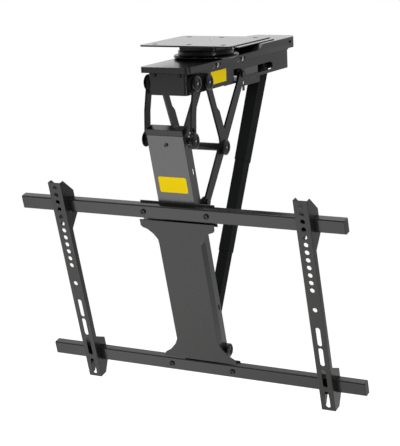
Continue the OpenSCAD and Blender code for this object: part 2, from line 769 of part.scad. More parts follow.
module cable_bracket() color(light) difference() {
    union() {
        block(-box_half + sheet, box_half - sheet, cable_y[0], cable_top_y, -box_drop - sheet, -box_drop);
        both() block(cable_half - sheet, cable_half, cable_y[0], cable_y[1], -cable_drop, -box_drop);
        block(cable_half - sheet, cable_half, cable_hook[0], cable_hook[1], -cable_hook[2], -box_drop);
    }
    block(-cable_half - over, cable_half + over, cable_slot[0], cable_slot[1], -cable_slot[3], -cable_slot[2]);
}

module crank_plate() {
    s = crank_share * crank_l;
    w = link_w / 2;
    difference() {
        along_x(crank_x, crank_out) translate(p2) rotate(atan2(pm[1] - p2[1], pm[0] - p2[0])) {
            circle(r = w);
            translate([crank_l, 0]) circle(r = crank_broad);
            polygon([
                [0, -w], [s[2], -w], [crank_l, -crank_broad], [crank_l, crank_broad],
                [s[1], crank_broad], [s[0], w], [0, w]
            ]);
        }
        rod(p2, shaft_r + run_gap, crank_x - over, crank_out + over);
        rod(pm, shaft_r + fit_gap, crank_x - over, crank_out + over);
    }
}
module crank_right() color(dark) crank_plate();
module crank_left() color(dark) mirror([1, 0, 0]) crank_plate();

module cross_shaft() color(zinc) rod(pm, shaft_r, -crank_out, crank_out);
module cross_tube() color(dark) difference() {
    rod(pm, tube_r, side_gap - arm_x, arm_x - side_gap);
    rod(pm, shaft_r + fit_gap, -arm_x, arm_x);
}
module crank_caps() color(black) for (side = [0, 1]) mirror([side, 0, 0])
    cap(pm, crank_out, cap_r, side == 0 ? cap_h : far_cap_h);

module long_arm_plate() difference() {
    along_x(arm_x, arm_out) translate(ps) rotate(atan2(pb[1] - ps[1], pb[0] - ps[0])) {
        for (x = [0, arm_l]) translate([x, 0]) circle(d = arm_w);
        polygon([
            [0, -arm_w / 2], [arm_m, -arm_broad], [arm_l, -arm_w / 2],
            [arm_l, arm_w / 2], [arm_m, arm_broad], [0, arm_w / 2]
        ]);
    }
    rod(ps, slide_r + fit_gap, arm_x - over, arm_out + over);
    rod(pm, shaft_r + run_gap, arm_x - over, arm_out + over);
    rod(pb, shaft_r + run_gap, arm_x - over, arm_out + over);
}
module long_arm_right() color(dark) long_arm_plate();
module long_arm_left() color(dark) mirror([1, 0, 0]) long_arm_plate();
module slide_shaft() color(grey) {
    rod(ps, slide_r, -arm_out - over, arm_out + over);
    both() rod(ps, slide_head_r, arm_out, arm_out + slide_head_h);
    both() rod(ps, slide_r + sheet, carriage_half + side_gap, carriage_half + side_gap + link_t);
}

link_mid = (p1 + pq) / 2 - [link_bow, 0];
link_stud = pq + (link_mid - pq) * stud_share;
module front_link_plate() difference() {
    along_x(crank_x, crank_out) {
        bar(p1, link_mid, link_w);
        bar(link_mid, pq, link_w);
    }
    rod(p1, shaft_r + run_gap, crank_x - over, crank_out + over);
    rod(pq, shaft_r + fit_gap, crank_x - over, crank_out + over);
    rod(link_stud, link_bolt_r / 2 + fit_gap, crank_x - over, crank_out + over);
}
module front_link_right() color(black) front_link_plate();
module front_link_left() color(black) mirror([1, 0, 0]) front_link_plate();
module link_studs() color(black) both() {
    rod(link_stud, link_bolt_r / 2, crank_x, crank_out + over);
    rod(link_stud, link_bolt_r, crank_out, crank_out + link_bolt_h);
}
module link_shaft() color(zinc) {
    rod(pq, shaft_r, -crank_out, crank_out);
    both() rod(pq, shaft_r + sheet, col_half + side_gap, crank_x);
}
module link_caps() color(black) for (side = [0, 1]) mirror([side, 0, 0])
    cap(pq, crank_out, cap_r, side == 0 ? cap_h : far_cap_h);

// Web with wings behind a rail, between z0 and z1, wings between w0 and w1
module web(z0, z1, w0, w1) {
    block(-col_half, col_half, rail_d, rail_d + col_sheet, z0, z1);
    block(-wing_half, wing_half, rail_d, rail_d + col_sheet, w0, w1);
}
// Slotted hole through both flanges at rearward y and height z
module flange_cut(y, z) along_x(-col_half - over, col_half + over)
    bar([y, z - flange_slot[1] / 2], [y, z + flange_slot[1] / 2], 2 * flange_slot[0]);

module column_upper() color(grey) col() difference() {
    union() {
        web(-split_z, upper_h, -rail_h - wing_low, wing_over);
        both() along_x(col_half - col_sheet, col_half) {
            translate([rail_d, -split_z]) square([upper_d - rail_d, split_z + upper_h]);
            bar([upper_d - lug_r, cb[1]], cb, 2 * lug_r);
            bar([cq[0] + guide_off, cq[1]], [cq[0] + guide_off, cq[1] - guide_l], 2 * ear_r);
        }
    }
    along_x(-col_half - over, col_half + over) {
        bar([cq[0] + guide_off, cq[1]], [cq[0] + guide_off, cq[1] - guide_l], 2 * guide_r);
    }
    rod(cb, shaft_r + fit_gap, -col_half - over, col_half + over);
    for (x = [-1, 1]) translate([x * rail_bolt_x, rail_d - over, -rail_h / 2]) rotate([-90, 0, 0])
        cylinder(r = rail_bolt_r / 2 + fit_gap, h = col_sheet + 2 * over);
    translate([0, rail_d - over, web_screw_z]) rotate([-90, 0, 0])
        cylinder(r = small_head / 4 + fit_gap, h = col_sheet + 2 * over);
    flange_cut(upper_d - 3 * flange_slot[0], flange_holes[0]);
}

module column_lower() color(grey) col() difference() {
    union() {
        web(rail_low - rail_h - wing_over, -split_z, rail_low - rail_h - wing_over, rail_low + wing_over);
        both() along_x(col_half - col_sheet, col_half) polygon([
            [lower_f, -lower_z0], [lower_d - lower_cut, -lower_z0], [lower_d, -lower_z0 - lower_cut],
            [lower_d, -lower_z1], [rail_d, -lower_z1],
            [rail_d, rail_low + wing_over], [lower_f, rail_low + wing_over]
        ]);
    }
    rod(cr, shaft_r + fit_gap, -col_half - over, col_half + over);
    for (x = [-1, 1]) translate([x * rail_bolt_x, rail_d - over, rail_low - rail_h / 2]) rotate([-90, 0, 0])
        cylinder(r = rail_bolt_r / 2 + fit_gap, h = col_sheet + 2 * over);
    flange_cut(lower_d - 3 * flange_slot[0], flange_holes[1]);
}

module top_flange() color(light) col() difference() {
    block(-col_half, col_half, rail_d, upper_d, upper_h, upper_h + top_flange_h);
    block(-col_half + col_sheet, col_half - col_sheet, rail_d + col_sheet, upper_d + over,
          upper_h - over, upper_h + top_flange_h - col_sheet);
}

module cover_plate() color(dark) col() {
    translate([0, lower_f, 0]) rotate([90, 0, 0]) linear_extrude(lower_f - cover_f) polygon(concat(
        [for (p = cover_pts) [p[0], -p[1]]],
        [for (i = [len(cover_pts) - 1 : -1 : 0]) [-cover_pts[i][0], -cover_pts[i][1]]]
    ));
    both() block(cover_side[0] - sheet, cover_side[0], cover_f, lower_f + cover_lip, -cover_pts[7][1], -cover_side[1]);
}

// Rail section in the side view with round front edges
module rail_shape(t) {
    translate([rail_r, t - rail_h]) square([rail_d - rail_r - t, rail_h - 2 * t]);
    translate([t, rail_r - rail_h]) square([rail_r, rail_h - 2 * rail_r]);
    for (z = [-rail_r, rail_r - rail_h]) translate([rail_r, z]) circle(r = rail_r - t);
}
module rail(z) col() translate([0, 0, z]) difference() {
    along_x(-rail_half, rail_half) rail_shape(0);
    along_x(-rail_half - over, rail_half + over) rail_shape(rail_wall);
    for (x = [-1, 1]) translate([x * rail_bolt_x, -over, -rail_h / 2]) rotate([-90, 0, 0])
        cylinder(r = rail_bolt_r / 2 + fit_gap, h = rail_d + 2 * over);
}
module rail_top() color(grey) rail(0);
module rail_bottom() color(grey) rail(rail_low);
module rail_caps() color(black) col() both() for (z = [0, rail_low]) translate([0, 0, z])
    along_x(rail_half, rail_half + rail_cap) rail_shape(0);
module rail_bolts() color(zinc) col() for (z = [0, rail_low], x = [-1, 1])
    translate([x * rail_bolt_x, 0, z - rail_h / 2]) rotate([90, 0, 0]) difference() {
        union() {
            cylinder(r = rail_bolt_r, h = rail_bolt_h);
            translate([0, 0, -rail_d - 2 * col_sheet])
                cylinder(r = rail_bolt_r / 2, h = rail_d + 3 * col_sheet);
        }
        translate([0, 0, rail_bolt_h / 2]) cylinder(r = rail_bolt_r / 2, h = rail_bolt_h, $fn = 6);
    }

module column_screws() color(light) col()
    translate([0, rail_d, web_screw_z]) small_screw(2 * col_sheet);

module column_label() color(yellow) col() translate([0, rail_d, 0]) rotate([90, 0, 0])
    linear_extrude(label_t) soft_rect(-label_col[0], label_col[0], label_col[1], label_col[2], label_r);

module foot_shaft() color(dark) col() {
    rod(cb, shaft_r, -arm_out - run_gap - over, arm_out + run_gap + over);
    both() rod(cb, shaft_r + sheet, arm_out + run_gap, arm_out + run_gap + slide_head_h);
}

module hub_shaft() color(zinc) col() {
    rod(cr, shaft_r, -col_half, col_half);
    both() rod(cr, shaft_r + sheet, strut_half + side_gap, col_half - col_sheet);
}
module hub_caps() color(black) col() both() cap(cr, col_half, hub_r, hub_h);

module strut_foot() color(deep_black) strut_frame() difference() {
    union() {
        rod([0, 0], strut_deep, -strut_half, strut_half);
        block(-strut_half, strut_half, -strut_deep, strut_deep, 0, lower_t[0]);
        block(strut_wall + fit_gap - strut_half, strut_half - strut_wall - fit_gap,
              strut_wall + fit_gap - strut_deep, strut_deep - strut_wall - fit_gap, 0, lower_t[0] + foot_plug);
    }
    rod([0, 0], shaft_r + run_gap, -strut_half - over, strut_half + over);
}

// Rectangular tube of the strut, half as deep as d[0] at its lower end and d[1] at its upper one
module strut_tube(w, d, t) difference() {
    along_x(-w, w) polygon([[-d[0], t[0]], [d[0], t[0]], [d[1], t[1]], [-d[1], t[1]]]);
    along_x(strut_wall - w, w - strut_wall) polygon([
        [strut_wall - d[0], t[0]], [strut_wall - d[0], t[0] - over],
        [d[0] - strut_wall, t[0] - over], [d[0] - strut_wall, t[0]],
        [d[1] - strut_wall, t[1]], [d[1] - strut_wall, t[1] + over],
        [strut_wall - d[1], t[1] + over], [strut_wall - d[1], t[1]]
    ]);
}
module strut_lower() color(deep_black) strut_frame() strut_tube(strut_half, [strut_deep, strut_deep], lower_t);
module strut_middle() color(deep_black) strut_frame()
    strut_tube(middle_half, [middle_deep, middle_top_deep], middle_t);
module strut_upper() color(deep_black) strut_frame() difference() {
    top = strut_l + upper_over;
    along_x(-upper_half, upper_half) polygon([
        [-upper_deep, upper_t], [upper_deep, upper_t], [strut_top_deep, top], [-strut_top_deep, top]
    ]);
    along_x(strut_wall - upper_half, upper_half - strut_wall) polygon([
        [strut_wall - upper_deep, upper_t], [strut_wall - upper_deep, upper_t - over],
        [upper_deep - strut_wall, upper_t - over], [upper_deep - strut_wall, upper_t],
        [strut_top_deep - strut_wall, top - upper_cap], [strut_wall - strut_top_deep, top - upper_cap]
    ]);
    rod([0, strut_l], shaft_r + fit_gap, -upper_half - over, upper_half + over);
}
module strut_pin() color(zinc) rod(pa, shaft_r, -strut_pin_x, strut_pin_x);

module tv_arm(x) col() translate([x, 0, 0]) difference() {
    union() {
        block(-tv_w / 2, tv_w / 2, -tv_f, tv_sheet - tv_f, -tv_down, tv_up);
        both() along_x(tv_w / 2 - tv_sheet, tv_w / 2) polygon([
            [-tv_f, -tv_down], [-tv_f, tv_up], [tv_flange - tv_f, tv_up], [hook_d, tv_up / 4],
            [hook_d, -1.3 * rail_h], [tv_flange - tv_f, -2.2 * rail_h],
            [tv_flange - tv_f, rail_low + 1.1 * rail_h], [hook_d, rail_low + rail_h / 2],
            [hook_d, rail_low - rail_h - lock_drop], [tv_tail - tv_f, -tv_down]
        ]);
    }
    for (z = [0, rail_low])
        block(-tv_w, tv_w, -hook_gap, rail_d + hook_gap, z - rail_h - hook_gap, z + hook_gap);
    translate([0, -tv_f - over, 0]) rotate([-90, 0, 0]) {
        for (i = [0 : vesa_n - 1]) translate([0, vesa_pitch * i - vesa_up, 0])
            cylinder(r = vesa_r, h = tv_sheet + 2 * over);
        translate([0, vesa_low, 0]) cylinder(r = vesa_r, h = tv_sheet + 2 * over);
        for (s = vesa_slots) linear_extrude(tv_sheet + 2 * over)
            bar([0, s[0] + vesa_r], [0, s[1] - vesa_r], 2 * vesa_r);
    }
}
module tv_arm_left() color(dark) tv_arm(arm_left_x);
module tv_arm_right() color(dark) tv_arm(arm_right_x);

module arm_lock(x) col() translate([x, 0, rail_low - rail_h - lock_drop]) {
    w = tv_w / 2 - tv_sheet;
    block(-w, w, rail_d / 2 - lock_d / 2, rail_d / 2 + lock_d / 2, -lock_h, 0);
    translate([0, rail_d / 2, -lock_h - knob_h]) cylinder(r = knob_r, h = knob_h);
    translate([0, rail_d / 2, -lock_h]) cylinder(r = lock_r, h = lock_h + lock_drop - hook_gap);
}
module arm_lock_left() color(deep_black) arm_lock(arm_left_x);
module arm_lock_right() color(deep_black) arm_lock(arm_right_x);

ceiling_plate();
plate_screws();
swivel_neck();
swivel_disc();
swivel_pin();
swivel_dish();
lid();
lid_strip();
lid_bolts();
box();
front_screws();
pivot_plates();
pivot_caps();
side_label();
slide_rails();
gearmotor();
control_box();
power_inlet();
strut_guides();
cable_bracket();
lead_screw();
carriage();
crank_left();
crank_right();
cross_shaft();
cross_tube();
crank_caps();
long_arm_left();
long_arm_right();
slide_shaft();
front_link_left();
front_link_right();
link_studs();
link_shaft();
link_caps();
column_upper();
column_lower();
top_flange();
cover_plate();
rail_top();
rail_bottom();
rail_caps();
rail_bolts();
column_screws();
column_label();
foot_shaft();
hub_shaft();
hub_caps();
strut_foot();
strut_lower();
strut_middle();
strut_upper();
strut_pin();
tv_arm_left();
tv_arm_right();
arm_lock_left();
arm_lock_right();
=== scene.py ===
import json
import math

import bmesh
import bpy
from bpy.props import FloatProperty, FloatVectorProperty, PointerProperty
from mathutils import Matrix, Vector


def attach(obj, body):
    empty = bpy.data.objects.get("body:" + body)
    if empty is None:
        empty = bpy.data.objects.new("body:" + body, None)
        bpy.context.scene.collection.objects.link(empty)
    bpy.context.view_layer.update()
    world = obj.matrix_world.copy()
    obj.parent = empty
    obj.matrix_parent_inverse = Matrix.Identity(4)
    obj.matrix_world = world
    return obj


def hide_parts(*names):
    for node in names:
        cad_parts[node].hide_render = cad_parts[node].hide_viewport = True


bl_info = {
    "name": "Flip-Down Ceiling Mount",
    "version": (1, 0, 0),
    "blender": (4, 5, 0),
    "location": "View3D > Sidebar > Ceiling Mount",
    "description": "Dresses the packed frame of a motorised flip-down television ceiling mount",
    "category": "Object",
}

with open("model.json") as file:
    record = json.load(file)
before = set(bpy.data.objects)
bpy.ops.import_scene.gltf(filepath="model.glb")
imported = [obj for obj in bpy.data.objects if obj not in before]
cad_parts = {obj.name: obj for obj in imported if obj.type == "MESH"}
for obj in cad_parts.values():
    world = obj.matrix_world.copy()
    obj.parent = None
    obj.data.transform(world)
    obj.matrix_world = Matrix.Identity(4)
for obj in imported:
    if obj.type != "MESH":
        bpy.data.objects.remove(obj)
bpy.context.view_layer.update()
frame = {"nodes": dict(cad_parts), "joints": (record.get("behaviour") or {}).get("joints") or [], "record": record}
MM = 0.001

# Where the part's faces lie, in millimetres
COLLAR_IN, COLLAR_OUT = 34.4, 38.4  # collars of the housing's pins, inside its side walls
COLUMN_FACE = 39.0  # side of the column, under the hub caps
LINK_IN, LINK_OUT = 47.0, 51.0  # inner and outer face of cranks and front links
HOUSING_CAP_FACE = 51.3  # back of the housing's own caps, just clear of the links
LIP_UNDERSIDE = -35.0  # height of the lid lip's underside
LID_STUD_X, LID_STUD_Y, LID_STUD_PAIR = 47, (-52, 49), 9  # pairs of studs, 9 to either side of y
RAIL_BOLT_X, RAIL_BOLT_UP = 68, (-13.8, -351.8)  # in the column's own frame

# Turned pieces: sides round the axis, and whether a ring of the profile is round or hexagonal
TURNED_SIDES = 48
ROUND, HEX = False, True
RIGHT, LEFT, DOWN = (1, 0, 0), (-1, 0, 0), (0, 0, -1)

# Edges: steeper ones stay sharp on turned pieces, and are rounded on sheet
SHARP_ANGLE = math.radians(32)
ROUNDED_ANGLE = math.radians(38)
ROUNDED_SEGMENTS = 2
FLAT_ANGLE = math.radians(0.4)  # triangles this level merge into one face
MERGE_DISTANCE = 0.002 * MM

# A bend is a long, steep, outer edge between two broad faces
BEND_LENGTH, BEND_REACH = 6 * MM, 4.5 * MM
BEND_ANGLE = math.radians(50)
BEND_SEGMENTS = 4

# Stage, in metres and watts
FLOOR_HALF, FLOOR_LEVEL, FLOOR_GLOW = 5.0, -2.4, 0.55
STUDIO_PLAIN, STUDIO_SEEN = 0.5, 1.0  # world's strength for diffuse light, and seen directly
STUDIO_SWEEP = (-0.3, 0.6, 0.9)  # glossy light grows along this direction
STUDIO_SWEEP_FROM, STUDIO_SWEEP_TO = (0.0, 0.85), (0.3, 1.25)
LAMPS = (  # name, place, width and height, power
    ("Key", (1.6, -2.2, 1.4), (1.6, 1.6), 22),
    ("Low", (-1.35, -2.1, -1.45), (1.3, 2.3), 14),
    ("Sky", (0.2, 0.6, 3.2), (3.6, 3.6), 120),
    ("Edge", (2.1, -1.15, -0.75), (0.22, 0.9), 9),
)
LAMP_TARGET = Vector((0, 0, -0.35))
CAMERA_PLACE = Vector((1.3167, -2.3888, 0.2722))
CAMERA_AZIMUTH, CAMERA_ELEVATION, CAMERA_ROLL = (math.radians(v) for v in (29.4, 13.0, -2.4))
CAMERA_LENS, CAMERA_SENSOR, CAMERA_CLIP = 114.5, 36.0, (0.1, 40.0)


# Colour and node helpers

def linear(code):
    """An sRGB hex colour as linear RGBA."""
    parts = [int(code.lstrip("#")[i:i + 2], 16) / 255 for i in (0, 2, 4)]
    return [c / 12.92 if c <= 0.04045 else ((c + 0.055) / 1.055) ** 2.4 for c in parts] + [1.0]


def add(tree, kind, links=(), **values):
    """Adds a node; values set its sockets or properties, links join (socket, from_socket)."""
    made = tree.nodes.new(kind)
    for key, value in values.items():
        if hasattr(made, key):
            setattr(made, key, value)
        else:
            made.inputs[key.replace("_", " ")].default_value = value
    for socket, source in links:
        tree.links.new(source, made.inputs[socket])
    return made


# Mesh helpers

def linked(name, mesh):
    """A new object at the origin, in the scene."""
    made = bpy.data.objects.new(name, mesh)
    bpy.context.scene.collection.objects.link(made)
    return made


def written(name, bm):
    """The bmesh as a mesh; the bmesh is freed."""
    mesh = bpy.data.meshes.new(name)
    bm.to_mesh(mesh)
    bm.free()
    return mesh


def settle(holder, name):
    """The evaluated object as a plain mesh object; the holder goes."""
    graph = bpy.context.evaluated_depsgraph_get()
    mesh = bpy.data.meshes.new_from_object(holder.evaluated_get(graph), depsgraph=graph)
    mesh.name = name
    bpy.data.objects.remove(holder)
    return linked(name, mesh)


def wear(mesh, finish):
    """Leaves the mesh with one finish, worn by every face."""
    mesh.materials.clear()
    mesh.materials.append(finish)
    mesh.polygons.foreach_set("material_index", [0] * len(mesh.polygons))


def join(name, pieces):
    """One mesh object out of several of one finish."""
    bm = bmesh.new()
    for piece in pieces:
        bm.from_mesh(piece.data)
    mesh = written(name, bm)
    wear(mesh, pieces[0].data.materials[0])
    for piece in pieces:
        bpy.data.objects.remove(piece)
    return linked(name, mesh)


def smooth_by_angle(mesh):
    """Smooth faces, with the steep edges kept sharp."""
    for face in mesh.polygons:
        face.use_smooth = True
    bm = bmesh.new()
    bm.from_mesh(mesh)
    for edge in bm.edges:
        edge.smooth = len(edge.link_faces) == 2 and edge.calc_face_angle(math.pi) < SHARP_ANGLE
    bm.to_mesh(mesh)
    bm.free()


def place(made, body, node):
    """Lets a finished piece ride on its body, and hides the node it stands for."""
    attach(made, body)
    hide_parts(node)


# Turned pieces, seated by Geometry Nodes

def turned(name, profile):
    """A turned piece along +Z: (radius, height, ROUND or HEX) in millimetres, closed at both ends.
    A hexagon's radius is measured to its corners."""
    bm = bmesh.new()
    rings = []
    for radius, height, six in profile:
        ring = []
        for i in range(TURNED_SIDES):
            a = 2 * math.pi * i / TURNED_SIDES
            r = radius
            if six:
                r = radius * math.cos(math.pi / 6) / math.cos((a % (math.pi / 3)) - math.pi / 6)
            ring.append(bm.verts.new((r * math.cos(a) * MM, r * math.sin(a) * MM, height * MM)))
        rings.append(ring)
    for low, high in zip(rings, rings[1:]):
        for i in range(TURNED_SIDES):
            j = (i + 1) % TURNED_SIDES
            bm.faces.new((low[i], low[j], high[j], high[i]))
    bm.faces.new(list(reversed(rings[0])))
    bm.faces.new(rings[-1])
    bmesh.ops.recalc_face_normals(bm, faces=bm.faces)
    return linked(name, written(name, bm))


def seat_tree(finish, template):
    """Geometry Nodes: a turned piece on each point, its axis along the point's aim."""
    tree = bpy.data.node_groups.new("Seat_Fasteners", "GeometryNodeTree")
    face = tree.interface
    face.new_socket("Geometry", in_out="INPUT", socket_type="NodeSocketGeometry")
    size = face.new_socket("Size", in_out="INPUT", socket_type="NodeSocketFloat")
    face.new_socket("Geometry", in_out="OUTPUT", socket_type="NodeSocketGeometry")
    start = add(tree, "NodeGroupInput")
    piece = add(tree, "GeometryNodeObjectInfo", Object=template)
    aim = add(tree, "GeometryNodeInputNamedAttribute", data_type="FLOAT_VECTOR", Name="aim")
    turn = add(tree, "FunctionNodeAlignRotationToVector", [("Vector", aim.outputs["Attribute"])], axis="Z")
    seated = add(tree, "GeometryNodeInstanceOnPoints", [
        ("Points", start.outputs["Geometry"]), ("Instance", piece.outputs["Geometry"]),
        ("Rotation", turn.outputs["Rotation"]), ("Scale", start.outputs["Size"])])
    real = add(tree, "GeometryNodeRealizeInstances", [("Geometry", seated.outputs["Instances"])])
    worn = add(tree, "GeometryNodeSetMaterial", [("Geometry", real.outputs["Geometry"])], Material=finish)
    add(tree, "NodeGroupOutput", [("Geometry", worn.outputs["Geometry"])])
    return tree, size.identifier


def seat(name, finish, profile, places, size=1.0):
    """Copies of a turned piece at (point, aim) places, as one mesh object."""
    template = turned(name + "_template", profile)
    points = bpy.data.meshes.new(name + "_points")
    points.from_pydata([p for p, _ in places], [], [])
    aims = points.attributes.new("aim", "FLOAT_VECTOR", "POINT")
    for i, (_, aim) in enumerate(places):
        aims.data[i].vector = aim
    holder = linked(name + "_holder", points)
    tree, size_id = seat_tree(finish, template)
    modifier = holder.modifiers.new("Seat", "NODES")
    modifier.node_group = tree
    modifier[size_id] = size
    made = settle(holder, name)
    wear(made.data, finish)
    smooth_by_angle(made.data)
    bpy.data.objects.remove(template)
    return made


# Sheet pieces, copied from the frame's nodes

def reach(face, edge):
    """How far a face reaches from the line of one of its edges."""
    start, along = edge.verts[0].co, (edge.verts[1].co - edge.verts[0].co).normalized()
    return max(((v.co - start) - (v.co - start).dot(along) * along).length for v in face.verts)


def bend(bm, radius):
    """Rounds the outer bends of folded sheet and the long corners of tubes by radius mm."""
    picked = [e for e in bm.edges if len(e.link_faces) == 2 and e.is_convex
              and e.calc_length() > BEND_LENGTH and e.calc_face_angle() > BEND_ANGLE
              and min(reach(f, e) for f in e.link_faces) > BEND_REACH]
    bmesh.ops.bevel(bm, geom=picked, offset=radius * MM, offset_type="OFFSET", segments=BEND_SEGMENTS,
                    profile=0.5, affect="EDGES", clamp_overlap=True)


def sheet_copy(node, width, radius):
    """A copy of a frame node, its triangles merged into whole faces, its bends rounded by radius mm
    and its other edges by width mm."""
    source = frame["nodes"][node]
    bm = bmesh.new()
    bm.from_mesh(source.data)
    bm.transform(source.matrix_world)
    bmesh.ops.remove_doubles(bm, verts=bm.verts, dist=MERGE_DISTANCE)
    bmesh.ops.dissolve_limit(bm, angle_limit=FLAT_ANGLE, verts=bm.verts, edges=bm.edges)
    bmesh.ops.recalc_face_normals(bm, faces=bm.faces)
    if radius:
        bend(bm, radius)
    mesh = written(node + "_Sheet", bm)
    for face in mesh.polygons:
        face.use_smooth = True
    holder = linked(node + "_holder", mesh)
    bevel = holder.modifiers.new("Round", "BEVEL")
    bevel.width, bevel.segments = width * MM, ROUNDED_SEGMENTS
    bevel.limit_method, bevel.angle_limit = "ANGLE", ROUNDED_ANGLE
    bevel.use_clamp_overlap = True
    even = holder.modifiers.new("Even", "WEIGHTED_NORMAL")
    even.keep_sharp = True
    made = settle(holder, node + "_Sheet")
    wear(made.data, source.data.materials[0])
    return made


def dress(nodes, width, radius=0):
    """Dresses several nodes, each on its own body and wearing its node's finish: bends are rounded by
    radius mm and other edges by width mm."""
    bodies = {n: b for b, names in frame["record"]["behaviour"]["bodies"].items() for n in names}
    for node in nodes:
        place(sheet_copy(node, width, radius), bodies[node], node)


# Finishes

FINISHES = {}


def blank(name):
    """A new finish with its node tree, its shader and its Object coordinates."""
    finish = bpy.data.materials.new(name)
    finish.use_nodes = True
    tree = finish.node_tree
    spot = add(tree, "ShaderNodeTexCoord").outputs["Object"]
    return finish, tree, tree.nodes["Principled BSDF"], spot


def tones(colour, *shares):
    """The colour at several strengths."""
    return [[min(1.0, c * share) for c in colour[:3]] + [1.0] for share in shares]


def coat(name, colour, roughness, level=0.35, mottling=0.05):
    """Powder-coated sheet steel: a sprayed and baked plastic film over steel. It gives a
    satin face with a faint orange peel. The real peel is about 0.8 mm, too fine to show,
    so it is drawn three times as coarse."""
    peel_mm, depth_mm, cloud_mm = 2.4, 0.02, 71.43
    smoother, rougher = 0.05, 0.06
    finish, tree, shader, spot = blank(name)
    shader.inputs["Specular IOR Level"].default_value = level
    cloud = add(tree, "ShaderNodeTexNoise", [("Vector", spot)], Scale=1 / (cloud_mm * MM), Detail=3.0)
    ramp = add(tree, "ShaderNodeValToRGB", [("Fac", cloud.outputs["Fac"])])
    for stop, tone in zip(ramp.color_ramp.elements, tones(colour, 1 - mottling, 1 + mottling)):
        stop.color = tone
    tree.links.new(ramp.outputs["Color"], shader.inputs["Base Color"])
    peel = add(tree, "ShaderNodeTexNoise", [("Vector", spot)], Scale=1 / (peel_mm * MM), Detail=2.0)
    rough = add(tree, "ShaderNodeMapRange", [("Value", peel.outputs["Fac"])])
    rough.inputs["To Min"].default_value = roughness - smoother
    rough.inputs["To Max"].default_value = roughness + rougher
    tree.links.new(rough.outputs["Result"], shader.inputs["Roughness"])
    bump = add(tree, "ShaderNodeBump", [("Height", peel.outputs["Fac"])],
               Strength=0.1, Distance=depth_mm * MM)
    tree.links.new(bump.outputs["Normal"], shader.inputs["Normal"])
    return finish


def zinc(name, colour, roughness):
    """Bright zinc plating on steel: electroplated, passivated and slightly cloudy. It gives
    a cool metallic shine with soft blotches."""
    blotch_mm, darkest, lightest, dullest = 6.25, 0.86, 1.08, 0.12
    finish, tree, shader, spot = blank(name)
    shader.inputs["Metallic"].default_value = 1.0
    cloud = add(tree, "ShaderNodeTexNoise", [("Vector", spot)], Scale=1 / (blotch_mm * MM), Detail=4.0)
    ramp = add(tree, "ShaderNodeValToRGB", [("Fac", cloud.outputs["Fac"])])
    for stop, tone in zip(ramp.color_ramp.elements, tones(colour, darkest, lightest)):
        stop.color = tone
    tree.links.new(ramp.outputs["Color"], shader.inputs["Base Color"])
    rough = add(tree, "ShaderNodeMapRange", [("Value", cloud.outputs["Fac"])])
    rough.inputs["To Min"].default_value = roughness
    rough.inputs["To Max"].default_value = roughness + dullest
    tree.links.new(rough.outputs["Result"], shader.inputs["Roughness"])
    return finish


def moulded(name, colour, roughness):
    """Moulded ABS with a spark-eroded grain. The real grain is about 0.3 mm and is drawn
    four times as coarse so that it shows."""
    grain_mm, depth_mm, spread = 1.2, 0.05, 0.06
    finish, tree, shader, spot = blank(name)
    shader.inputs["Base Color"].default_value = colour
    grain = add(tree, "ShaderNodeTexVoronoi", [("Vector", spot)], Scale=1 / (grain_mm * MM))
    rough = add(tree, "ShaderNodeMapRange", [("Value", grain.outputs["Distance"])])
    rough.inputs["To Min"].default_value = roughness - spread
    rough.inputs["To Max"].default_value = roughness + spread
    tree.links.new(rough.outputs["Result"], shader.inputs["Roughness"])
    bump = add(tree, "ShaderNodeBump", [("Height", grain.outputs["Distance"])],
               Strength=0.3, Distance=depth_mm * MM)
    tree.links.new(bump.outputs["Normal"], shader.inputs["Normal"])
    return finish


# What a user may change

def pin_of(joint):
    """Rearward and upward place of a joint's pin in the frame."""
    return next(j["pos_m"][1:] for j in frame["joints"] if j["name"] == joint)


class MountColours(bpy.types.PropertyGroup):
    """Colours of the mount's finishes"""
    plate: FloatVectorProperty(
        name="Plates", description="Powder coat of ceiling plate and lid",
        subtype="COLOR", size=4, min=0, max=1, default=linear("#161716"))
    black: FloatVectorProperty(
        name="Black parts", description="Powder coat of front links, their shafts and rail bolts",
        subtype="COLOR", size=4, min=0, max=1, default=linear("#0B0B0B"))
    # Near-black of caps, link studs and swivel. The top flange wears it too, as painted shade that makes its band
    # darker than the column's grey coat.
    caps: FloatVectorProperty(
        name="Caps and swivel", description="Powder coat of caps, link studs, swivel and top flange",
        subtype="COLOR", size=4, min=0, max=1, default=linear("#050505"))
    dark: FloatVectorProperty(
        name="Dark parts", description="Powder coat of housing, cranks, long and screen arms",
        subtype="COLOR", size=4, min=0, max=1, default=linear("#141413"))
    grey: FloatVectorProperty(
        name="Grey parts", description="Powder coat of column and carriage",
        subtype="COLOR", size=4, min=0, max=1, default=linear("#242625"))
    rail: FloatVectorProperty(
        name="Rails", description="Powder coat of the two rails",
        subtype="COLOR", size=4, min=0, max=1, default=linear("#161716"))
    strut: FloatVectorProperty(
        name="Strut", description="Powder coat of strut and pivot plates",
        subtype="COLOR", size=4, min=0, max=1, default=linear("#191A1A"))
    zinc: FloatVectorProperty(
        name="Zinc", description="Plating of bolts, screw and shafts",
        subtype="COLOR", size=4, min=0, max=1, default=linear("#C9CBCC"))
    plastic: FloatVectorProperty(
        name="Plastic", description="Moulded end caps and knobs",
        subtype="COLOR", size=4, min=0, max=1, default=linear("#161617"))
    label: FloatVectorProperty(
        name="Labels", description="Film of the blank labels",
        subtype="COLOR", size=4, min=0, max=1, default=linear("#F4D408"))


